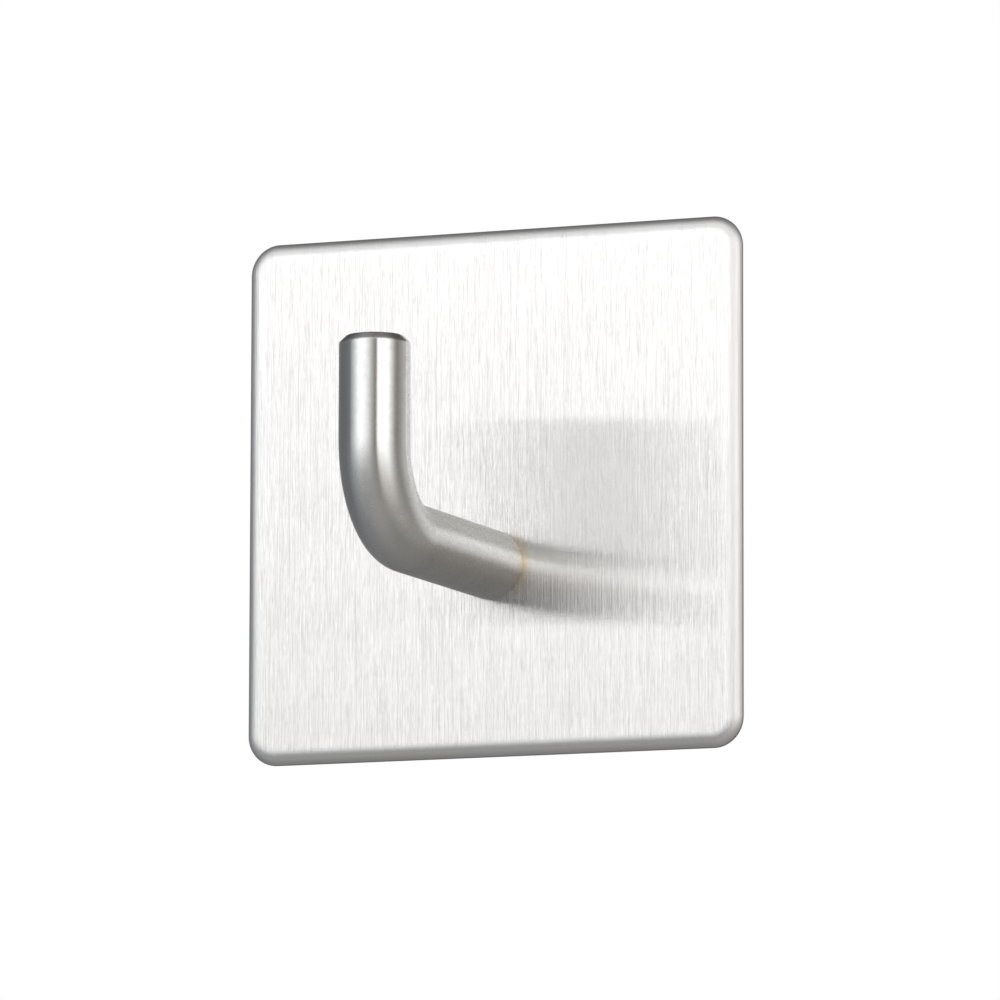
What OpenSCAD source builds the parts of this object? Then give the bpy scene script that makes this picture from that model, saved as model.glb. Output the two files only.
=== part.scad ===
// Adhesive wall hook: a square stainless plate, a round bar bent up into a hook and welded
// to it from behind, and a double-coated foam pad under a peel-off liner.
// Millimetres. X runs across the plate, Z up the wall, Y into the wall.
// The origin is the middle of the liner's back, where the unpeeled hook lies flat.

/* [Plate] */
// Width of the plate
plate_w = 60; // [45:0.5:90]
// Height of the plate
plate_h = 60; // [50:0.5:90]
// Thickness of the sheet
plate_t = 1.2; // [1:0.1:2]
// Radius of the plate's corners, seen from the front
plate_corner_r = 3.5; // [2.5:0.1:10]
// How far the rolled front edge reaches in over the face
edge_roll_w = 1.5; // [0.9:0.1:2]
// How far the rolled front edge falls back from the face
edge_roll_d = 0.9; // [0.4:0.1:0.9]

/* [Hook bar] */
// Diameter of the round bar
bar_d = 7.9; // [6:0.1:10]
// How far the bar's foot sits below the middle of the plate
bar_drop = 8.3; // [0:0.1:12]
// Reach from the plate's face to the middle of the upright
bar_reach = 33.8; // [28:0.1:50]
// Rise from the middle of the run to the top of the tip
bar_rise = 21.05; // [18:0.05:35]
// Inside radius of the bend
bend_inner_r = 5.5; // [4:0.1:8]
// Width of the 45 degree chamfer round the tip
tip_chamfer = 0.8; // [0.3:0.1:1.5]

/* [Weld] */
// Width of the shoulder that seats on the plate, round the spigot
shoulder_w = 1.4; // [0.8:0.1:2]
// Gap between the spigot and its hole, on the radius
spigot_clearance = 0.05; // [0.02:0.01:0.1]
// Leg of the weld that fills the countersink behind the plate
weld_leg = 0.6; // [0.3:0.1:0.8]

/* [Adhesive pad] */
// Margin between the plate's edge and the pad's
pad_margin = 2; // [1.6:0.1:6]
// Radius of the pad's corners
pad_corner_r = 3; // [1:0.1:6]
// Thickness of the foam
foam_t = 0.8; // [0.5:0.1:2]
// Thickness of the adhesive coat on the plate's side
plate_coat_t = 0.1; // [0.05:0.01:0.2]
// Thickness of the adhesive coat on the wall's side
wall_coat_t = 0.1; // [0.05:0.01:0.2]

/* [Liner] */
// Thickness of the release film
liner_t = 0.1; // [0.05:0.01:0.2]
// Width of the finger tab
tab_w = 16; // [8:0.5:30]
// How far the finger tab stands out past the pad
tab_reach = 1.4; // [0.8:0.1:1.5]
// Radius of the finger tab's corners
tab_corner_r = 0.7; // [0.2:0.1:0.7]

/* [Hidden] */
$fn = 96;

// Layers, counted from the liner's back towards the room
wall_coat_y = -liner_t;
foam_y = wall_coat_y - wall_coat_t;
plate_coat_y = foam_y - foam_t;
plate_back_y = plate_coat_y - plate_coat_t;
plate_front_y = plate_back_y - plate_t;

// Rolled edge: one arc that leaves the face tangent and meets the sheared side at an angle
edge_roll_r = (pow(edge_roll_w, 2) + pow(edge_roll_d, 2)) / (2 * edge_roll_d);

// Bar and its seat
bar_r = bar_d / 2;
bend_r = bend_inner_r + bar_r;
spigot_r = bar_r - shoulder_w;
hole_r = spigot_r + spigot_clearance;
run_len = bar_reach - bend_r;
upright_len = bar_rise - bend_r - tip_chamfer;

// Pad
pad_w = plate_w - 2 * pad_margin;
pad_h = plate_h - 2 * pad_margin;

// Overlap that carries a cut clean through a face
cut = 1;

// Stands a shape drawn in X and Y up in the wall's plane: back at y, thickness towards the room
module on_wall(y) {
    translate([0, y, 0]) rotate([90, 0, 0]) children();
}

// Runs a shape drawn along Z out from the wall instead, at the bar's foot
module at_foot(y) {
    translate([0, y, -bar_drop]) rotate([90, 0, 0]) children();
}

module rounded_rect(w, h, r) {
    square([w - 2 * r, h], center = true);
    square([w, h - 2 * r], center = true);
    for (sx = [-1, 1], sy = [-1, 1])
        translate([sx * (w / 2 - r), sy * (h / 2 - r)]) circle(r);
}

// Section of the plate's rim, from the corner's centre out to the sheared side
module rim_section() {
    flat_w = plate_corner_r - edge_roll_w;
    square([flat_w, plate_t]);
    square([plate_corner_r, plate_t - edge_roll_d]);
    intersection() {
        translate([flat_w, plate_t - edge_roll_r]) circle(edge_roll_r);
        translate([flat_w, plate_t - edge_roll_d]) square([edge_roll_w, edge_roll_d]);
    }
}

// One straight side of the rim, of the given length, lying outwards along +X
module rim_side(length) {
    translate([0, length / 2, 0]) rotate([90, 0, 0]) linear_extrude(length) rim_section();
}

// Blanked plate lying flat, its front up: a flat middle, four straight rims and four turned corners
module plate_blank() {
    flat_w = plate_w - 2 * plate_corner_r;
    flat_h = plate_h - 2 * plate_corner_r;
    linear_extrude(plate_t) square([flat_w, flat_h], center = true);
    for (side = [0, 1]) rotate(side * 180) {
        translate([flat_w / 2, 0, 0]) rim_side(flat_h);
        rotate(90) translate([flat_h / 2, 0, 0]) rim_side(flat_w);
        translate([flat_w / 2, flat_h / 2, 0]) rotate_extrude(angle = 90) rim_section();
        translate([-flat_w / 2, flat_h / 2, 0]) rotate(90) rotate_extrude(angle = 90) rim_section();
    }
}

// Plate, with the spigot's hole and the weld's countersink behind it
module back_plate() {
    color("gainsboro") difference() {
        on_wall(plate_back_y) plate_blank();
        at_foot(plate_back_y + cut) cylinder(h = plate_t + 2 * cut, r = hole_r);
        at_foot(plate_back_y) cylinder(h = weld_leg, r1 = spigot_r + weld_leg, r2 = spigot_r);
    }
}

// Quarter bend that turns the bar from its run, along -Y, up into the upright, along +Z
module bend() {
    translate([0, plate_front_y - run_len, bend_r - bar_drop]) rotate([0, 90, 0]) mirror([0, 1, 0])
        rotate_extrude(angle = 90) translate([bend_r, 0]) circle(bar_r);
}

// Bar: spigot, run, bend, upright and chamfered tip, all one piece
module hook_bar() {
    color("darkgray") {
        at_foot(plate_back_y) cylinder(h = plate_t, r = spigot_r);
        at_foot(plate_front_y) cylinder(h = run_len, r = bar_r);
        bend();
        translate([0, plate_front_y - bar_reach, bend_r - bar_drop]) {
            cylinder(h = upright_len, r = bar_r);
            translate([0, 0, upright_len])
                cylinder(h = tip_chamfer, r1 = bar_r, r2 = bar_r - tip_chamfer);
        }
    }
}

// Weld run round the spigot's end, ground flush with the plate's back
module plug_weld() {
    color("dimgray") at_foot(plate_back_y) difference() {
        cylinder(h = weld_leg, r1 = spigot_r + weld_leg, r2 = spigot_r);
        translate([0, 0, -cut]) cylinder(h = weld_leg + 2 * cut, r = spigot_r);
    }
}

// One sheet of the pad, its back at y
module pad_sheet(y, thickness) {
    on_wall(y) linear_extrude(thickness) rounded_rect(pad_w, pad_h, pad_corner_r);
}

module plate_adhesive() {
    color("whitesmoke") pad_sheet(plate_coat_y, plate_coat_t);
}

module foam_core() {
    color("slategray") pad_sheet(foam_y, foam_t);
}

module wall_adhesive() {
    color("whitesmoke") pad_sheet(wall_coat_y, wall_coat_t);
}

// Release film, cut to the pad with a finger tab at the lower edge
module release_liner() {
    tab_h = tab_reach + pad_corner_r;
    color("firebrick") on_wall(0) linear_extrude(liner_t) {
        rounded_rect(pad_w, pad_h, pad_corner_r);
        translate([0, -pad_h / 2 - tab_reach + tab_h / 2]) rounded_rect(tab_w, tab_h, tab_corner_r);
    }
}

back_plate();
hook_bar();
plug_weld();
plate_adhesive();
foam_core();
wall_adhesive();
release_liner();
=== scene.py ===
import math

import bmesh
import bpy
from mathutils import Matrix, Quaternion, Vector, noise


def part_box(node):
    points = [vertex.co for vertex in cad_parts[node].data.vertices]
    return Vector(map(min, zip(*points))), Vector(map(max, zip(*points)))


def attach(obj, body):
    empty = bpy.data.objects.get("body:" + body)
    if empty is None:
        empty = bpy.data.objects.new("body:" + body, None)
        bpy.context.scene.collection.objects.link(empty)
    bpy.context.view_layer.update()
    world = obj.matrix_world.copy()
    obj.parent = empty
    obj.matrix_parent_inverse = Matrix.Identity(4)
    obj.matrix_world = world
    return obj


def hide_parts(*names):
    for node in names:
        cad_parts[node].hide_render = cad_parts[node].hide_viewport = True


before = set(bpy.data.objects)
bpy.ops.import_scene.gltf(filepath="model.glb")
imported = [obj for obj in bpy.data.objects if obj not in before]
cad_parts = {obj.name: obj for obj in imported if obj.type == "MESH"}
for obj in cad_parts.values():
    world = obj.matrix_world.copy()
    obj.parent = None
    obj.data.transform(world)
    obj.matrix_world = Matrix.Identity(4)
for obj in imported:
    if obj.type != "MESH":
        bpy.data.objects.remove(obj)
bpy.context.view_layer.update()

# Back plate: a square of stainless sheet, blanked with rounded corners. The press rolls its front
# edge over and punches the hole for the bar's spigot, and a belt brushes the face up and down.
MM = 0.001
PLATE_CORNER = 3.5 * MM
CORNER_STEPS = 24
ROLL_WIDTH = 3.3 * MM
ROLL_DEPTH = 0.9 * MM
ROLL_POWER = 6.9
ROLL_STEPS = 26
BACK_LAND = 0.4 * MM
EDGE_BREAK = 0.06 * MM
SHOULDER = 1.4 * MM
SPIGOT_GAP = 0.05 * MM
WELD_LEG = 0.6 * MM
plate_low, plate_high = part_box("back_plate")
bar_low, bar_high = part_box("hook_bar")
face_y = plate_low.y
plate_thickness = plate_high.y - plate_low.y
bar_radius = bar_high.x
spigot_radius = bar_radius - SHOULDER
hole_radius = spigot_radius + SPIGOT_GAP
foot_z = bar_low.z + bar_radius


def arc(centre, radius, quarter, steps):
    """A quarter circle, counter-clockwise, that starts at quarter times 90 degrees."""
    turns = [math.radians(90 * (quarter + step / steps)) for step in range(steps + 1)]
    return [centre + radius * Vector((math.cos(turn), math.sin(turn))) for turn in turns]


def rounded_loop(half_w, half_h, radius, side_steps=1):
    """Points (x, z) counter-clockwise round a rounded rectangle, its straight sides cut in steps."""
    corners = []
    for quarter, (side_x, side_z) in enumerate(((1, 1), (-1, 1), (-1, -1), (1, -1))):
        centre = Vector((side_x * (half_w - radius), side_z * (half_h - radius)))
        corners.append(arc(centre, radius, quarter, CORNER_STEPS))
    points = []
    for corner, following in zip(corners, corners[1:] + corners[:1]):
        points += corner
        points += [corner[-1].lerp(following[0], step / side_steps) for step in range(1, side_steps)]
    return points


def foot_circle(points, radius):
    """A circle round the bar's foot, with one point in the direction of each of the given points."""
    foot = Vector((0, foot_z))
    return [foot + radius * (point - foot).normalized() for point in points]


def ring(bm, points, y):
    return [bm.verts.new((x, y, z)) for x, z in points]


def loft(bm, rings, through=False):
    """Skins neighbouring rings with quads. The ends are closed flat, or joined round a hole."""
    pairs = list(zip(rings, rings[1:]))
    if through:
        pairs.append((rings[-1], rings[0]))
    else:
        bm.faces.new(reversed(rings[0]))
        bm.faces.new(rings[-1])
    for near, far in pairs:
        for k in range(len(near)):
            after = (k + 1) % len(near)
            bm.faces.new((near[k], near[after], far[after], far[k]))


def shade(mesh, sharp_degrees):
    """Shades a mesh smooth, apart from edges that turn by more than this."""
    mesh.shade_smooth()
    mesh.set_sharp_from_angle(angle=math.radians(sharp_degrees))


def finished_piece(name, bm, material, sharp_degrees=40):
    """Turns a bmesh into a smooth-shaded object at the origin, its faces pointing outwards."""
    bmesh.ops.recalc_face_normals(bm, faces=bm.faces)
    mesh = bpy.data.meshes.new(name)
    bm.to_mesh(mesh)
    bm.free()
    shade(mesh, sharp_degrees)
    mesh.materials.append(material)
    piece = bpy.data.objects.new(name, mesh)
    bpy.context.scene.collection.objects.link(piece)
    return piece


NOISE_MIDDLE = (0.3, 0.7)


class Finish:
    """A new material and short calls that add nodes to it."""

    def __init__(self, name, **constants):
        self.material = bpy.data.materials.new(name)
        self.material.use_nodes = True
        self.tree = self.material.node_tree
        self.shader = self.tree.nodes["Principled BSDF"]
        self.surface(**constants)

    def node(self, kind, *links, **settings):
        """Adds a node; links are (input, value or output socket) pairs, settings its own properties."""
        node = self.tree.nodes.new(kind)
        for key, value in settings.items():
            setattr(node, key, value)
        for socket, value in links:
            self.feed(node.inputs[socket], value)
        return node

    def feed(self, socket, value):
        if isinstance(value, bpy.types.NodeSocket):
            self.tree.links.new(value, socket)
        else:
            socket.default_value = value

    def surface(self, **sockets):
        """Feeds the shader's own sockets."""
        for socket, value in sockets.items():
            self.feed(self.shader.inputs[socket.replace("_", " ").title()], value)
        return self.material

    def place(self):
        """The point on the piece, in metres in the shared frame."""
        return self.node("ShaderNodeTexCoord").outputs["Object"]

    def split(self, point):
        return self.node("ShaderNodeSeparateXYZ", (0, point)).outputs

    def math(self, operation, a, b=0.0):
        return self.node("ShaderNodeMath", (0, a), (1, b), operation=operation).outputs[0]

    def measure(self, operation, a, b):
        """One number from two vectors, such as their distance."""
        return self.node("ShaderNodeVectorMath", (0, a), (1, b), operation=operation).outputs["Value"]

    def noise(self, point, waves, detail=2.0, roughness=0.5):
        """Noise between 0 and 1; waves a metre, as one number or one for each of X, Y and Z."""
        scale = waves if isinstance(waves, tuple) else (waves, waves, waves)
        stretched = self.node("ShaderNodeMapping", ("Vector", point), ("Scale", scale)).outputs[0]
        return self.node("ShaderNodeTexNoise", ("Vector", stretched), ("Scale", 1.0), ("Detail", detail),
                         ("Roughness", roughness)).outputs[0]

    def ramp(self, value, low, high, to_low=0.0, to_high=1.0):
        """Maps a value from one range to another, held at the ends."""
        links = enumerate((value, low, high, to_low, to_high))
        return self.node("ShaderNodeMapRange", *links).outputs[0]

    def spread(self, pattern, low, high):
        """Carries the middle of a noise, where most of it lies, over a range."""
        return self.ramp(pattern, *NOISE_MIDDLE, low, high)

    def mix(self, factor, a, b):
        return self.node("ShaderNodeMix", (0, factor), (6, a), (7, b), data_type="RGBA").outputs[2]

    def bump(self, height, depth):
        return self.node("ShaderNodeBump", ("Height", height), ("Distance", depth),
                         ("Strength", 1.0)).outputs[0]

    def along(self, uv_map):
        """The direction of U on one of the piece's own maps."""
        return self.node("ShaderNodeTangent", direction_type="UV_MAP", uv_map=uv_map).outputs[0]


PLATE_BRIGHT = (0.665, 0.645, 0.632, 1)
PLATE_DULL = (0.615, 0.602, 0.593, 1)
RIM_STEEL = (0.86, 0.855, 0.85, 1)
SHEARED_STEEL = (0.42, 0.42, 0.43, 1)
# Straw colour by the bar's foot: partly heat tint, partly a painted warm reflection on the right of the
# foot.
STRAW_TINT_AND_PAINTED_GLINT = (0.60, 0.49, 0.30, 1)
HAIRLINE_WAVES = (8000, 1, 60)
HAIRLINE_DEPTH = 0.045 * MM
STREAK_WAVES = (3200, 1, 35)
STREAK_HEIGHT = 0.3
CLOUD_WAVES = (60, 1, 25)
CLOUD_SHARE = 0.5
GRAIN_RANGE = (0.5, 1.0)
FACE_ROUGHNESS = (0.14, 0.17)
RIM_ROUGHER = 0.33
RIM_FADE = 0.2 * MM
RIM_FADE_POWER = 0.35
SHEAR_START = 0.7 * MM
TINT_STRENGTH = 0.7
TINT_REACH = 1.2 * MM
TINT_AND_GLINT_LEFT = 2.4 * MM


def brushed_plate():
    """Belt-brushed stainless: hairlines up the plate that blur it sideways, a paler and rougher roll
    round its rim, a dull sheared side, and a straw colour on the right of the foot that is partly heat
    tint and partly a painted warm reflection."""
    finish = Finish("brushed_plate", metallic=1.0)
    point = finish.place()
    x, y, _ = finish.split(point)
    hairlines = finish.noise(point, HAIRLINE_WAVES, detail=4, roughness=0.65)
    streaks = finish.noise(point, STREAK_WAVES, detail=3)
    clouds = finish.noise(point, CLOUD_WAVES)
    grain = finish.math("ADD", streaks, finish.math("MULTIPLY", clouds, CLOUD_SHARE))
    steel = finish.mix(finish.ramp(grain, *GRAIN_RANGE), PLATE_DULL, PLATE_BRIGHT)
    rim = finish.math("POWER", finish.ramp(y, face_y, face_y + RIM_FADE), RIM_FADE_POWER)
    steel = finish.mix(rim, steel, RIM_STEEL)
    sheared = finish.math("MINIMUM", finish.ramp(y, face_y + SHEAR_START, face_y + ROLL_DEPTH),
                          finish.ramp(y, plate_high.y, plate_high.y - EDGE_BREAK))
    steel = finish.mix(sheared, steel, SHEARED_STEEL)
    off_foot = finish.measure("DISTANCE", point, (0, face_y, foot_z))
    # Painted warm reflection over the heat tint: the straw colour is kept to the right of the foot, where a
    # warm highlight is mirrored.
    heat_and_glint = finish.ramp(off_foot, bar_radius, bar_radius + TINT_REACH, TINT_STRENGTH, 0.0)
    tint = finish.math("MULTIPLY", heat_and_glint, finish.ramp(x, TINT_AND_GLINT_LEFT, bar_radius))
    height = finish.math("ADD", hairlines, finish.math("MULTIPLY", streaks, STREAK_HEIGHT))
    roughness = finish.math("ADD", finish.spread(streaks, *FACE_ROUGHNESS),
                            finish.math("MULTIPLY", rim, RIM_ROUGHER))
    return finish.surface(base_color=finish.mix(tint, steel, STRAW_TINT_AND_PAINTED_GLINT), roughness=roughness,
                          anisotropic=finish.ramp(rim, 0.0, 1.0, 1.0, 0.0),
                          normal=finish.bump(height, HAIRLINE_DEPTH), tangent=finish.along("wall"))


def wall_uv(piece):
    """Gives a piece a map in millimetres, named wall: U to the right and V up, leaning with depth."""
    lean = 0.4
    layer = piece.data.uv_layers.new(name="wall")
    for loop in piece.data.loops:
        x, y, z = piece.data.vertices[loop.vertex_index].co
        layer.data[loop.index].uv = ((x + lean * y) / MM, (z + lean * y) / MM)


def rim_profile():
    """(inset from the plate's outline, depth behind the face), from the face round to the back."""
    shares = [step / ROLL_STEPS for step in range(ROLL_STEPS + 1)]
    profile = [(ROLL_WIDTH * (1 - share), ROLL_DEPTH * share ** ROLL_POWER) for share in shares]
    profile.append((0, plate_thickness - EDGE_BREAK))
    profile.append((EDGE_BREAK, plate_thickness))
    profile.append((EDGE_BREAK + BACK_LAND, plate_thickness))
    return profile


bm = bmesh.new()
outline = rounded_loop(plate_high.x, plate_high.z, PLATE_CORNER)
hole_profile = ((spigot_radius + WELD_LEG, plate_thickness),
                (hole_radius, plate_thickness - WELD_LEG + SPIGOT_GAP), (hole_radius, 0))
plate_rings = []
for inset, depth in rim_profile():
    points = rounded_loop(plate_high.x - inset, plate_high.z - inset, PLATE_CORNER - inset)
    plate_rings.append(ring(bm, points, face_y + depth))
for radius, depth in hole_profile:
    plate_rings.append(ring(bm, foot_circle(outline, radius), face_y + depth))
loft(bm, plate_rings, through=True)
back_plate = finished_piece("back_plate_sheet", bm, brushed_plate(), sharp_degrees=28)
wall_uv(back_plate)
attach(back_plate, "hook")
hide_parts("back_plate")

# Hook bar: one length of round stainless bar. Its foot is turned down to a spigot that goes through
# the plate, its tip is chamfered, and it is bent up once, cold, and polished to a satin.
BEND_INSIDE = 5.5 * MM
TIP_CHAMFER = 0.8 * MM
TIP_SOFT = 0.16 * MM
TIP_SOFT_STEPS = 4
TIP_EDGE_DEGREES = 30
BAR_SIDES = 128
BEND_STEPS = 64
# The shoulder's face lies between two stations a hair apart. A support ring beside an edge keeps the
# shading of the straight part true.
HAIR = 0.002 * MM
SUPPORT = 0.25 * MM
bend_radius = BEND_INSIDE + bar_radius


class Shaping:
    """A new Geometry Nodes tree with named inputs, and short calls that add nodes to it."""

    def __init__(self, name, **inputs):
        self.tree = bpy.data.node_groups.new(name, "GeometryNodeTree")
        self.tree.interface.new_socket("Geometry", in_out="OUTPUT", socket_type="NodeSocketGeometry")
        for key, kind in inputs.items():
            self.tree.interface.new_socket(key, in_out="INPUT", socket_type="NodeSocket" + kind)
        self.given = self.tree.nodes.new("NodeGroupInput").outputs

    def add(self, kind, *links, **settings):
        """Adds a node and returns its first output; links and settings are as in Finish.node."""
        node = self.tree.nodes.new(kind)
        for key, value in settings.items():
            setattr(node, key, value)
        for socket, value in links:
            if isinstance(value, bpy.types.NodeSocket):
                self.tree.links.new(value, node.inputs[socket])
            else:
                node.inputs[socket].default_value = value
        return node.outputs[0]

    def math(self, operation, a, b=0.0):
        return self.add("ShaderNodeMath", (0, a), (1, b), operation=operation)

    def split(self, vector):
        return self.add("ShaderNodeSeparateXYZ", (0, vector)).node.outputs

    def by_number(self, kind, values):
        """The value for each point, picked by the point's number."""
        switch = self.tree.nodes.new("GeometryNodeIndexSwitch")
        switch.data_type = kind
        while len(switch.index_switch_items) < len(values):
            switch.index_switch_items.new()
        self.tree.links.new(self.add("GeometryNodeInputIndex"), switch.inputs[0])
        for number, value in enumerate(values):
            self.tree.links.new(value, switch.inputs[number + 1])
        return switch.outputs[0]

    def closed_with(self, geometry, material):
        """Ends the tree: real geometry that carries the finish."""
        geometry = self.add("GeometryNodeRealizeInstances", ("Geometry", geometry))
        geometry = self.add("GeometryNodeSetMaterial", ("Geometry", geometry), ("Material", material))
        self.tree.links.new(geometry, self.tree.nodes.new("NodeGroupOutput").inputs[0])
        return self.tree


def grown(name, tree, base=None, **values):
    """Runs a node tree with these inputs, on a base mesh if there is one, and returns a plain mesh
    object."""
    seed = bpy.data.objects.new(name, base or bpy.data.meshes.new(name))
    bpy.context.scene.collection.objects.link(seed)
    modifier = seed.modifiers.new("shape", "NODES")
    modifier.node_group = tree
    for item in tree.interface.items_tree:
        if item.in_out == "INPUT" and item.name in values:
            modifier[item.identifier] = values[item.name]
    bpy.context.view_layer.update()
    mesh = bpy.data.meshes.new_from_object(seed.evaluated_get(bpy.context.evaluated_depsgraph_get()))
    seed.modifiers.remove(modifier)
    seed.data = mesh
    return seed


def bent_bar():
    """A round bar swept along its path: spigot, shoulder, run, quarter bend, upright and chamfer."""
    sweep = Shaping("bent_bar", spigot_end="Vector", face="Float", upright="Float", tip="Float",
                    thick="Float", thin="Float", bend_radius="Float", chamfer="Float", steel="Material")
    given = sweep.given
    _, spigot_y, run_z = sweep.split(given["spigot_end"])
    chamfer_z = sweep.math("SUBTRACT", given["tip"], given["chamfer"])

    def spot(y, z):
        return sweep.add("ShaderNodeCombineXYZ", (1, y), (2, z))

    stations = [
        (spot(spigot_y, run_z), given["thin"]),
        (spot(sweep.math("ADD", given["face"], HAIR), run_z), given["thin"]),
        (spot(given["face"], run_z), given["thick"]),
        (spot(sweep.math("SUBTRACT", given["face"], SUPPORT), run_z), given["thick"]),
        (spot(given["upright"], run_z), given["thick"]),
        (spot(given["upright"], sweep.math("SUBTRACT", chamfer_z, SUPPORT)), given["thick"]),
        (spot(given["upright"], chamfer_z), given["thick"]),
        (spot(given["upright"], given["tip"]), sweep.math("SUBTRACT", given["thick"], given["chamfer"])),
    ]
    corner = 4
    line = sweep.add("GeometryNodeMeshLine", ("Count", len(stations)))
    line = sweep.add("GeometryNodeSetPosition", ("Geometry", line),
                     ("Position", sweep.by_number("VECTOR", [place for place, _ in stations])))
    path = sweep.add("GeometryNodeMeshToCurve", ("Mesh", line))
    path = sweep.add("GeometryNodeSetCurveRadius", ("Curve", path),
                     ("Radius", sweep.by_number("FLOAT", [radius for _, radius in stations])))
    at_corner = sweep.add("FunctionNodeCompare", (2, sweep.add("GeometryNodeInputIndex")), (3, corner),
                          data_type="INT", operation="EQUAL")
    path = sweep.add("GeometryNodeFilletCurve", ("Curve", path), ("Count", BEND_STEPS),
                     ("Radius", sweep.math("MULTIPLY", given["bend_radius"], at_corner)), mode="POLY")
    circle = sweep.add("GeometryNodeCurvePrimitiveCircle", ("Resolution", BAR_SIDES), ("Radius", 1.0))
    skin = sweep.add("GeometryNodeCurveToMesh", ("Curve", path), ("Profile Curve", circle),
                     ("Scale", sweep.add("GeometryNodeInputRadius")), ("Fill Caps", True))
    return sweep.closed_with(skin, given["steel"])


BAR_STEEL = (0.83, 0.825, 0.815, 1)
BAR_WORN = (0.79, 0.785, 0.775, 1)
BAR_GRAIN_WAVES = 1400
BAR_GRAIN_DEPTH = 0.001 * MM
BAR_CLOUD_WAVES = 160
BAR_ROUGHNESS = (0.24, 0.28)
BAR_TINT_STRENGTH = 0.5
BAR_TINT_REACH = 0.5 * MM
CLOUD_RANGE = (0.35, 0.65)


def satin_bar():
    """Satin stainless: polishing marks round the bar that blur it lengthwise, and a straw colour on the
    right of the foot that is partly heat tint and partly a painted warm reflection."""
    finish = Finish("satin_bar", metallic=1.0, anisotropic=1.0)
    point = finish.place()
    x, y, _ = finish.split(point)
    grain = finish.noise(point, BAR_GRAIN_WAVES, detail=3)
    clouds = finish.noise(point, BAR_CLOUD_WAVES)
    steel = finish.mix(finish.ramp(clouds, *CLOUD_RANGE), BAR_WORN, BAR_STEEL)
    # Straw colour by the foot, kept to its right side: partly heat tint, partly a painted warm reflection.
    heat_and_glint = finish.ramp(y, face_y - BAR_TINT_REACH, face_y, 0.0, BAR_TINT_STRENGTH)
    tint = finish.math("MULTIPLY", heat_and_glint, finish.ramp(x, TINT_AND_GLINT_LEFT, bar_radius))
    return finish.surface(base_color=finish.mix(tint, steel, STRAW_TINT_AND_PAINTED_GLINT),
                          roughness=finish.spread(grain, *BAR_ROUGHNESS),
                          normal=finish.bump(grain, BAR_GRAIN_DEPTH), tangent=finish.along("bar"))


def bar_uv(piece):
    """Gives the bar a map in millimetres, named bar: U along it and V round it. On a flat end U runs
    outwards."""
    centre_y = bar_low.y + bar_radius + bend_radius
    centre_z = foot_z + bend_radius
    layer = piece.data.uv_layers.new(name="bar")
    for loop in piece.data.loops:
        x, y, z = piece.data.vertices[loop.vertex_index].co
        if y > centre_y:
            along = -y
            side = foot_z - z
        elif z > centre_z:
            along = bend_radius * math.pi / 2 - centre_y + z - centre_z
            side = centre_y - bend_radius - y
        else:
            along = bend_radius * math.atan2(centre_y - y, centre_z - z) - centre_y
            side = math.hypot(centre_y - y, centre_z - z) - bend_radius
        inward = bar_radius - math.hypot(x, side)
        layer.data[loop.index].uv = ((along + inward) / MM, bar_radius * math.atan2(x, side) / MM)


hook_bar = grown("hook_bar_steel", bent_bar(), spigot_end=(0, bar_high.y, foot_z), face=face_y,
                 upright=bar_low.y + bar_radius, tip=bar_high.z, thick=bar_radius, thin=spigot_radius,
                 bend_radius=bend_radius, chamfer=TIP_CHAMFER, steel=satin_bar())
bm = bmesh.new()
bm.from_mesh(hook_bar.data)
bmesh.ops.remove_doubles(bm, verts=bm.verts, dist=HAIR / 4)
bmesh.ops.recalc_face_normals(bm, faces=bm.faces)
tip_edges = []
for edge in bm.edges:
    above_run = min(vert.co.z for vert in edge.verts) > foot_z + bar_radius
    if above_run and edge.is_manifold and edge.calc_face_angle() > math.radians(TIP_EDGE_DEGREES):
        tip_edges.append(edge)
bmesh.ops.bevel(bm, geom=tip_edges, offset=TIP_SOFT, offset_type="OFFSET", segments=TIP_SOFT_STEPS,
                profile=0.5, affect="EDGES")
bm.to_mesh(hook_bar.data)
bm.free()
shade(hook_bar.data, sharp_degrees=35)
bar_uv(hook_bar)
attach(hook_bar, "hook")
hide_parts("hook_bar")

# Plug weld: a ring of weld metal run into the countersink round the spigot's end, behind the plate,
# and ground flush so that the pad can lie flat over it. The heat leaves it blue and straw.
WELD_SIDES = 96
WELD_GREY = (0.46, 0.43, 0.39, 1)
WELD_STRAW = (0.52, 0.38, 0.20, 1)
WELD_BLUE = (0.24, 0.28, 0.40, 1)
WELD_SCRATCH_WAVES = (600, 600, 9000)
WELD_SCRATCH_DEPTH = 0.006 * MM
WELD_ROUGHNESS = (0.28, 0.46)
WELD_FLOW_WAVES = 700
WELD_FLOW_REACH = 0.3 * MM
STRAW_STRENGTH = (0.9, 0.2)
BLUE_STRENGTH = 0.7
BLUE_START = 0.5 * MM
BLUE_PAST_EDGE = 0.3 * MM
weld_low, weld_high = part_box("plug_weld")


def ground_weld():
    """Weld metal under a grinding wheel: straight scratches, and tint bands round the spigot."""
    finish = Finish("weld_metal", metallic=1.0)
    point = finish.place()
    scratches = finish.noise(point, WELD_SCRATCH_WAVES, detail=3)
    flow = finish.noise(point, WELD_FLOW_WAVES)
    off_spigot = finish.measure("DISTANCE", point, (0, weld_high.y, foot_z))
    reach = finish.math("ADD", off_spigot, finish.math("MULTIPLY", flow, WELD_FLOW_REACH))
    straw = finish.ramp(reach, spigot_radius, weld_high.x, *STRAW_STRENGTH)
    tinted = finish.mix(straw, WELD_GREY, WELD_STRAW)
    blue = finish.ramp(reach, spigot_radius + BLUE_START, weld_high.x + BLUE_PAST_EDGE, 0.0, BLUE_STRENGTH)
    return finish.surface(base_color=finish.mix(blue, tinted, WELD_BLUE),
                          roughness=finish.spread(scratches, *WELD_ROUGHNESS),
                          normal=finish.bump(scratches, WELD_SCRATCH_DEPTH))


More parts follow.
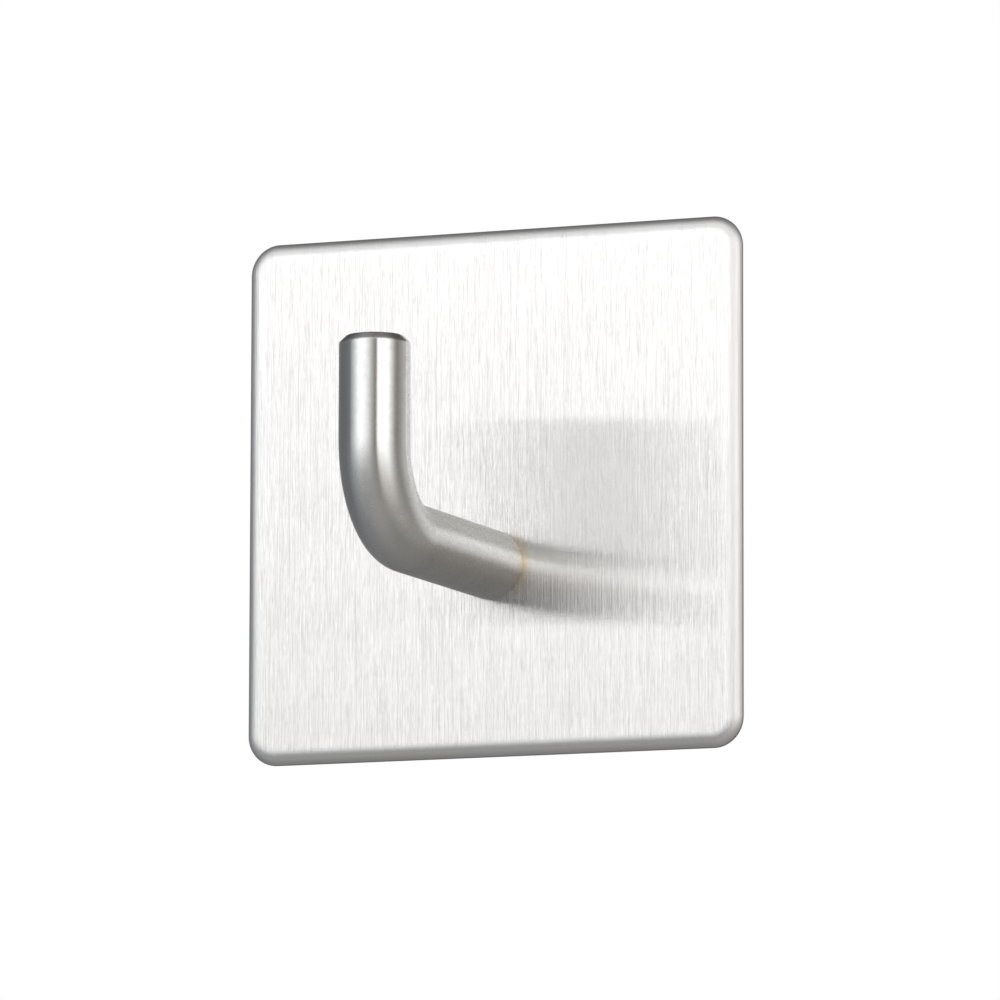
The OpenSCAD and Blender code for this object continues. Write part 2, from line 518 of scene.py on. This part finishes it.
bm = bmesh.new()
weld_turns = [2 * math.pi * step / WELD_SIDES for step in range(WELD_SIDES)]
weld_circle = [Vector((math.cos(turn), foot_z + math.sin(turn))) for turn in weld_turns]
weld_section = ((spigot_radius, weld_high.y), (spigot_radius, weld_low.y + EDGE_BREAK),
                (spigot_radius + EDGE_BREAK, weld_low.y + EDGE_BREAK), (weld_high.x, weld_high.y))
loft(bm, [ring(bm, foot_circle(weld_circle, radius), y) for radius, y in weld_section], through=True)
plug_weld = finished_piece("plug_weld_ring", bm, ground_weld(), sharp_degrees=30)
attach(plug_weld, "hook")
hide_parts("plug_weld")

# Plate adhesive: the coat of milky acrylic adhesive on the pad's inner face. It is rolled on, cut
# with the pad by one knife, and squeezed flat against the back of the plate.
PAD_CORNER = 3.0 * MM
COAT_SIDE_STEPS = 60
COAT_TUCK = 0.06 * MM
COAT_WANDER = 0.12 * MM
COAT_WANDER_WAVES = 220
COAT_CLEAR = (0.80, 0.80, 0.77, 1)
COAT_MILKY = (0.88, 0.88, 0.86, 1)
COAT_CLOUD_WAVES = 180
COAT_PEEL_WAVES = 900
COAT_PEEL_DEPTH = 0.01 * MM
COAT_ROUGHNESS = (0.26, 0.42)


def tacky_adhesive():
    """Milky acrylic: faint clouds, an orange-peel face and a wet shine."""
    finish = Finish("tacky_adhesive", coat_weight=0.35, coat_roughness=0.12)
    point = finish.place()
    clouds = finish.noise(point, COAT_CLOUD_WAVES, detail=4)
    peel = finish.noise(point, COAT_PEEL_WAVES, detail=3)
    milk = finish.ramp(clouds, *CLOUD_RANGE)
    return finish.surface(base_color=finish.mix(milk, COAT_CLEAR, COAT_MILKY),
                          roughness=finish.spread(peel, *COAT_ROUGHNESS),
                          normal=finish.bump(peel, COAT_PEEL_DEPTH))


adhesive_finish = tacky_adhesive()


def adhesive_coat(name, node):
    """A thin coat with the pad's outline, whose cut edge wanders a little and bulges between its
    faces."""
    low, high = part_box(node)
    bm = bmesh.new()
    rings = []
    for share, tuck in ((0.0, COAT_TUCK), (0.5, 0.0), (1.0, COAT_TUCK)):
        points = []
        for point in rounded_loop(high.x, high.z, PAD_CORNER, COAT_SIDE_STEPS):
            swing = noise.noise(Vector((point.x, low.y, point.y)) * COAT_WANDER_WAVES)
            points.append(point - (tuck + COAT_WANDER * abs(swing)) * point.normalized())
        rings.append(ring(bm, points, low.y + share * (high.y - low.y)))
    loft(bm, rings)
    return finished_piece(name, bm, adhesive_finish)


plate_adhesive = adhesive_coat("plate_adhesive_coat", "plate_adhesive")
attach(plate_adhesive, "hook")
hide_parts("plate_adhesive")

# Foam core: a sheet of grey closed-cell polyethylene foam, die-cut to the pad's outline. The knife
# opens the cells along its edge, and the edge springs back a little hollow between the two faces.
FOAM_SIDE_STEPS = 500
FOAM_ROWS = 10
FOAM_HOLLOW = 0.10 * MM
FOAM_CELL = 0.28 * MM
FOAM_PIT = 0.09 * MM
FOAM_OPEN = 0.6
FOAM_FACE_POWER = 6.0
FOAM_DARK = (0.22, 0.23, 0.25, 1)
FOAM_PALE = (0.40, 0.41, 0.43, 1)
FOAM_BUBBLE = 0.6 * FOAM_CELL
FOAM_BUBBLE_DEPTH = 0.05 * MM
FOAM_WALL_RANGE = (0.3, 0.9)
FOAM_CLOUD_WAVES = 300
FOAM_CLOUD_SHARE = 0.4
FOAM_ROUGHNESS = (0.78, 0.92)
foam_low, foam_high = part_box("foam_core")
foam_half = (foam_high.y - foam_low.y) / 2


def cut_cells():
    """Pits the cut edge of a foam sheet with open cells, and leaves its two faces flat."""
    cells = Shaping("cut_cells", sheet="Geometry", middle="Float", half="Float", cell="Float",
                    pit="Float", foam="Material")
    given = cells.given
    across = cells.split(cells.add("GeometryNodeInputPosition"))[1]
    share = cells.math("DIVIDE", cells.math("SUBTRACT", across, given["middle"]), given["half"])
    near_face = cells.math("POWER", cells.math("ABSOLUTE", share), FOAM_FACE_POWER)
    edge = cells.math("SUBTRACT", 1.0, near_face)
    reach = cells.add("ShaderNodeTexVoronoi", ("Scale", cells.math("DIVIDE", 1.0, given["cell"])))
    open_cell = cells.math("MAXIMUM", cells.math("SUBTRACT", FOAM_OPEN, reach), 0.0)
    depth = cells.math("MULTIPLY", cells.math("MULTIPLY", open_cell, edge), given["pit"])
    inward = cells.add("ShaderNodeVectorMath", (0, cells.add("GeometryNodeInputNormal")),
                       ("Scale", cells.math("MULTIPLY", depth, -1.0)), operation="SCALE")
    pitted = cells.add("GeometryNodeSetPosition", ("Geometry", given["sheet"]), ("Offset", inward))
    return cells.closed_with(pitted, given["foam"])


def closed_cell_foam():
    """Fine closed cells: dark bubbles in paler walls, dull all over."""
    finish = Finish("closed_cell_foam")
    point = finish.place()
    bubble = finish.node("ShaderNodeTexVoronoi", ("Vector", point), ("Scale", 1 / FOAM_BUBBLE)).outputs[0]
    clouds = finish.noise(point, FOAM_CLOUD_WAVES, detail=3)
    wall = finish.math("ADD", bubble, finish.math("MULTIPLY", clouds, FOAM_CLOUD_SHARE))
    return finish.surface(base_color=finish.mix(finish.ramp(wall, *FOAM_WALL_RANGE), FOAM_DARK, FOAM_PALE),
                          roughness=finish.spread(clouds, *FOAM_ROUGHNESS),
                          normal=finish.bump(bubble, FOAM_BUBBLE_DEPTH))


bm = bmesh.new()
foam_rings = []
for row in range(FOAM_ROWS + 1):
    share = 2 * row / FOAM_ROWS - 1
    tuck = FOAM_HOLLOW * (1 - share ** 2)
    points = rounded_loop(foam_high.x - tuck, foam_high.z - tuck, PAD_CORNER - tuck, FOAM_SIDE_STEPS)
    foam_rings.append(ring(bm, points, foam_low.y + (1 + share) * foam_half))
loft(bm, foam_rings)
bmesh.ops.recalc_face_normals(bm, faces=bm.faces)
foam_mesh = bpy.data.meshes.new("foam_blank")
bm.to_mesh(foam_mesh)
bm.free()
foam_core = grown("foam_core_sheet", cut_cells(), base=foam_mesh, middle=foam_low.y + foam_half,
                  half=foam_half, cell=FOAM_CELL, pit=FOAM_PIT / FOAM_OPEN, foam=closed_cell_foam())
shade(foam_core.data, sharp_degrees=50)
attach(foam_core, "hook")
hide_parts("foam_core")

# Wall adhesive: the same acrylic on the pad's outer face, under the liner. It is the coat that
# holds the hook to the wall.
wall_adhesive = adhesive_coat("wall_adhesive_coat", "wall_adhesive")
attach(wall_adhesive, "hook")
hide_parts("wall_adhesive")

# Release liner: a glossy red polyester film that keeps the wall coat clean until the hook goes up.
# It is cut with the pad, apart from a finger tab that stands out past the lower edge.
TAB_WIDTH = 16.0 * MM
TAB_CORNER = 0.7 * MM
TAB_REACH = 1.4 * MM
TAB_STEPS = 8
FILM_RED = (0.72, 0.11, 0.095, 1)
FILM_DEEP = (0.62, 0.085, 0.075, 1)
FILM_CREASE = (0.82, 0.34, 0.31, 1)
FILM_ROLL_WAVES = (70, 70, 160)
FILM_ROLL_DEPTH = 0.10 * MM
FILM_FINE_WAVES = 2500
FILM_FINE_HEIGHT = 0.02
FILM_ROUGHNESS = (0.20, 0.30)
CREASE_WIDTH = 0.25 * MM
CREASE_STRENGTH = 0.7
film_low, film_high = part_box("release_liner")
pad_bottom = film_low.z + TAB_REACH


def liner_film():
    """Glossy red film: slow waves from the roll, small changes of depth in its colour and a pale
    crease at the tab."""
    finish = Finish("liner_film", coat_weight=0.5, coat_roughness=0.06)
    point = finish.place()
    waves = finish.noise(point, FILM_ROLL_WAVES)
    fine = finish.noise(point, FILM_FINE_WAVES)
    height = finish.math("ADD", waves, finish.math("MULTIPLY", fine, FILM_FINE_HEIGHT))
    _, _, z = finish.split(point)
    off_crease = finish.math("ABSOLUTE", finish.math("SUBTRACT", z, pad_bottom))
    crease = finish.ramp(off_crease, 0.0, CREASE_WIDTH, CREASE_STRENGTH, 0.0)
    red = finish.mix(finish.spread(waves, 0.0, 1.0), FILM_DEEP, FILM_RED)
    return finish.surface(base_color=finish.mix(crease, red, FILM_CREASE),
                          roughness=finish.spread(fine, *FILM_ROUGHNESS),
                          normal=finish.bump(height, FILM_ROLL_DEPTH))


bm = bmesh.new()
tab_half = TAB_WIDTH / 2
tab_x = tab_half - TAB_CORNER
tab_z = film_low.z + TAB_CORNER
corner_x = film_high.x - PAD_CORNER
upper_z = film_high.z - PAD_CORNER
lower_z = pad_bottom + PAD_CORNER
film_outline = arc(Vector((corner_x, upper_z)), PAD_CORNER, 0, CORNER_STEPS)
film_outline += arc(Vector((-corner_x, upper_z)), PAD_CORNER, 1, CORNER_STEPS)
film_outline += arc(Vector((-corner_x, lower_z)), PAD_CORNER, 2, CORNER_STEPS)
film_outline.append(Vector((-tab_half, pad_bottom)))
film_outline += arc(Vector((-tab_x, tab_z)), TAB_CORNER, 2, TAB_STEPS)
film_outline += arc(Vector((tab_x, tab_z)), TAB_CORNER, 3, TAB_STEPS)
film_outline.append(Vector((tab_half, pad_bottom)))
film_outline += arc(Vector((corner_x, lower_z)), PAD_CORNER, 3, CORNER_STEPS)
loft(bm, [ring(bm, film_outline, y) for y in (film_low.y, film_high.y)])
release_liner = finished_piece("release_liner_film", bm, liner_film())
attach(release_liner, "liner")
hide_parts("release_liner")

# Studio: a pale paper floor well under the hook, in a white surround. A tent of grey cloth, which only
# the metal mirrors, gives it its dark and light bands. Two soft boxes stand in front and one behind.
FLOOR_Z = -0.85
FLOOR_HALF = 12.0
FLOOR_GLOW = 0.42
PAPER_GREY = (0.80, 0.80, 0.80, 1)
PAPER_PALE = (0.84, 0.84, 0.84, 1)
PAPER_WAVES = 40
PAPER_ROUGHNESS = (0.85, 0.95)
WHITE = (1, 1, 1, 1)


def floor_paper():
    """Pale paper that looks near white to the camera and still takes a shadow."""
    finish = Finish("floor_paper", emission_color=WHITE)
    paper = finish.noise(finish.place(), PAPER_WAVES)
    camera_ray = finish.node("ShaderNodeLightPath").outputs["Is Camera Ray"]
    return finish.surface(base_color=finish.mix(paper, PAPER_GREY, PAPER_PALE),
                          roughness=finish.ramp(paper, 0.0, 1.0, *PAPER_ROUGHNESS),
                          emission_strength=finish.math("MULTIPLY", camera_ray, FLOOR_GLOW))


bm = bmesh.new()
bmesh.ops.create_grid(bm, x_segments=8, y_segments=8, size=FLOOR_HALF)
for vert in bm.verts:
    vert.co.z = FLOOR_Z
floor = finished_piece("studio_floor", bm, floor_paper())
floor.visible_glossy = False

# The tent's sizes are in metres and its bearings and heights in degrees: 0 is in front of the hook,
# positive to the right. A lit patch is its direction, where it starts as a share of the tent's
# radius, and how much brighter than the cloth its middle is.
TENT_RADIUS = 2.2
OPEN_LEFT = -150
OPEN_REAR = 168
OPEN_LEFT_SILL = -6
OPEN_REAR_SILL = -24
OPEN_TOP = 30
TENT_COOL = (0.160, 0.168, 0.177, 1)
TENT_WARM = (0.265, 0.25, 0.228, 1)
THIN_LEFT = (-130, -170)
THIN_RIGHT_RISE = (95, 130)
THIN_RIGHT_FALL = (160, 140)
THIN_RIGHT_SHARE = 0.55
THIN_BELOW_SILL = 0.3
THIN_ABOVE_SILL = 0.2
THIN_BELOW_TOP = 0.4
LIT_PATCHES = (
    ((0.0, -0.53, -0.85), 0.74, 0.5),
    ((0.0, -0.60, 0.80), 0.85, 2.0),
    ((-0.77, -0.54, -0.35), 0.88, 0.6),
    ((0.79, -0.56, -0.26), 0.86, 1.2),
)
PATCH_FULL = 0.97
SHADE_Y = (-0.2, 0.8)
SHADE_Z = (0.5, 1.0)
SHADE_STRENGTH = 0.6
TOP_Z = (1.9, 2.15)
TOP_DIM = 0.5


def tent_cloth():
    """Grey cloth that glows, cool on the left and warm on the right. It thins to white at its left
    rear and partly at its right rear, has four lit patches and is shaded at its upper back."""
    finish = Finish("tent_cloth")
    finish.material.cycles.emission_sampling = "NONE"
    point = finish.place()
    x, y, z = finish.split(point)
    bearing = finish.math("DEGREES", finish.math("ARCTAN2", x, finish.math("MULTIPLY", y, -1.0)))
    sill, top = (TENT_RADIUS * math.sin(math.radians(turn)) for turn in (OPEN_LEFT_SILL, OPEN_TOP))
    right = finish.math("MINIMUM", finish.ramp(bearing, *THIN_RIGHT_RISE),
                        finish.ramp(bearing, *THIN_RIGHT_FALL))
    thin = finish.math("ADD", finish.ramp(bearing, *THIN_LEFT),
                       finish.math("MULTIPLY", right, THIN_RIGHT_SHARE))
    thin = finish.math("MULTIPLY", thin, finish.ramp(z, sill - THIN_BELOW_SILL, sill + THIN_ABOVE_SILL))
    thin = finish.math("MULTIPLY", thin, finish.ramp(z, top - THIN_BELOW_TOP, top, 1.0, 0.0))
    light = 1.0
    for side, start, extra in LIT_PATCHES:
        towards = finish.measure("DOT_PRODUCT", point, side)
        lit = finish.ramp(towards, start * TENT_RADIUS, PATCH_FULL * TENT_RADIUS, 0.0, extra)
        light = finish.math("ADD", light, lit)
    dark = finish.math("MULTIPLY", finish.ramp(y, *SHADE_Y), finish.ramp(z, *SHADE_Z, 0.0, SHADE_STRENGTH))
    light = finish.math("MULTIPLY", light, finish.math("SUBTRACT", 1.0, dark))
    light = finish.math("MULTIPLY", light, finish.ramp(z, *TOP_Z, 1.0, TOP_DIM))
    cloth = finish.mix(finish.ramp(x, -TENT_RADIUS, TENT_RADIUS), TENT_COOL, TENT_WARM)
    glow = finish.node("ShaderNodeEmission", ("Color", finish.mix(thin, cloth, WHITE)), ("Strength", light))
    finish.feed(finish.tree.nodes["Material Output"].inputs["Surface"], glow.outputs[0])
    return finish.material


bm = bmesh.new()
bmesh.ops.create_uvsphere(bm, u_segments=72, v_segments=36, radius=TENT_RADIUS)
opening = []
for face in bm.faces:
    x, y, z = face.calc_center_median()
    bearing = math.degrees(math.atan2(x, -y))
    at_rear = abs(bearing) > OPEN_REAR
    sill = OPEN_REAR_SILL if at_rear else OPEN_LEFT_SILL
    if (at_rear or bearing < OPEN_LEFT) and sill < math.degrees(math.asin(z / TENT_RADIUS)) < OPEN_TOP:
        opening.append(face)
bmesh.ops.delete(bm, geom=opening, context="FACES")
tent = finished_piece("grey_tent", bm, tent_cloth())
tent.visible_camera = tent.visible_diffuse = tent.visible_shadow = False
tent.visible_transmission = tent.visible_volume_scatter = False

AMBIENT = 0.45
world = bpy.data.worlds.new("studio")
bpy.context.scene.world = world
world.use_nodes = True
nodes, links = world.node_tree.nodes, world.node_tree.links
rays = nodes.new("ShaderNodeLightPath").outputs
seen = rays["Is Camera Ray"]
for other in ("Is Glossy Ray", "Is Transmission Ray"):
    either = nodes.new("ShaderNodeMath")
    either.operation = "MAXIMUM"
    links.new(seen, either.inputs[0])
    links.new(rays[other], either.inputs[1])
    seen = either.outputs[0]
level = nodes.new("ShaderNodeMapRange")
links.new(seen, level.inputs["Value"])
level.inputs["To Min"].default_value = AMBIENT
links.new(level.outputs[0], nodes["Background"].inputs["Strength"])
nodes["Background"].inputs["Color"].default_value = WHITE

EVEN = ((0, 1), (1, 1))
BOX_RISE = ((0, 0), (0.10, 0.33), (0.20, 0.68), (0.24, 0.77), (0.275, 0.82), (0.31, 0.94), (0.34, 1),
            (0.40, 0.88), (0.45, 0.45), (1, 0.35))
LEFT_ACROSS = ((0, 0), (0.24, 0.42), (0.40, 0.88), (0.46, 1), (0.56, 0.9), (0.70, 0.64), (0.85, 0.25),
               (1, 0))
RIGHT_ACROSS = ((0, 0.5), (0.1, 1), (0.46, 1), (0.64, 0.5), (0.85, 0.1), (1, 0))


def lamp_profile(tree, share, stops):
    """Brightness along one side of a lamp, from stops of (share of that side, brightness)."""
    fade = tree.nodes.new("ShaderNodeValToRGB")
    while len(fade.color_ramp.elements) < len(stops):
        fade.color_ramp.elements.new(0.5)
    for element, (position, value) in zip(fade.color_ramp.elements, stops):
        element.position = position
        element.color = (value, value, value, 1)
    tree.links.new(share, fade.inputs[0])
    return fade.outputs[0]


def soft_box(name, bearing, distance, width, low, high, radiance, colour=(1, 1, 1), across=EVEN,
             rising=EVEN):
    """A standing area lamp that faces the hook, bright as its two profiles say, across it and up it."""
    turn = math.radians(bearing)
    lamp = bpy.data.lights.new(name, "AREA")
    lamp.color = colour
    lamp.shape = "RECTANGLE"
    lamp.size = width
    lamp.size_y = high - low
    lamp.energy = radiance * math.pi * width * (high - low)
    lamp.use_nodes = True
    tree = lamp.node_tree
    split = tree.nodes.new("ShaderNodeSeparateXYZ")
    tree.links.new(tree.nodes.new("ShaderNodeNewGeometry").outputs["Parametric"], split.inputs[0])
    both = tree.nodes.new("ShaderNodeMath")
    both.operation = "MULTIPLY"
    for side, stops in enumerate((across, rising)):
        tree.links.new(lamp_profile(tree, split.outputs[side], stops), both.inputs[side])
    tree.links.new(both.outputs[0], tree.nodes["Emission"].inputs["Strength"])
    holder = bpy.data.objects.new(name, lamp)
    rise = (low + high) / 2
    holder.location = (distance * math.sin(turn), -distance * math.cos(turn), rise)
    aim = Vector((0, 0, rise)) - holder.location
    holder.rotation_euler = aim.to_track_quat("-Z", "Y").to_euler()
    holder.visible_camera = False
    bpy.context.scene.collection.objects.link(holder)
    return holder


soft_box("left_box", bearing=-20, distance=0.80, width=1.44, low=-0.17, high=0.95, radiance=2.4,
         colour=(0.97, 0.985, 1.0), across=LEFT_ACROSS, rising=BOX_RISE)
soft_box("right_box", bearing=63, distance=0.80, width=1.12, low=-0.17, high=0.95, radiance=2.4,
         colour=(0.98, 0.99, 1.0), across=RIGHT_ACROSS, rising=BOX_RISE)
back_box = soft_box("back_box", bearing=180, distance=1.0, width=1.2, low=0.4, high=1.2, radiance=2.5)
back_box.visible_glossy = False

# Camera: a long lens about a metre off, to the right of the hook and a little below it. It looks up at
# the plate's face, and a slight roll sets the plate as it stands in the photograph.
VIEW_YAW = math.radians(22.0)
VIEW_PITCH = math.radians(8.0)
VIEW_ROLL = math.radians(0.15)
VIEW_DISTANCE = 0.956
VIEW_AIM = Vector((0.22, 0, -0.64)) * MM
FOCAL_PIXELS = 8455
FRAME_PIXELS = 1000
lens = bpy.data.cameras.new("camera")
lens.sensor_width = 36
lens.lens = FOCAL_PIXELS / FRAME_PIXELS * lens.sensor_width
lens.clip_end = 20
camera = bpy.data.objects.new("camera", lens)
forward = Vector((-math.sin(VIEW_YAW) * math.cos(VIEW_PITCH), math.cos(VIEW_YAW) * math.cos(VIEW_PITCH),
                  math.sin(VIEW_PITCH)))
camera.location = VIEW_AIM - VIEW_DISTANCE * forward
camera.rotation_mode = "QUATERNION"
camera.rotation_quaternion = forward.to_track_quat("-Z", "Y") @ Quaternion((0, 0, 1), VIEW_ROLL)
bpy.context.scene.collection.objects.link(camera)
bpy.context.scene.camera = camera
bpy.context.scene.view_settings.view_transform = "Standard"
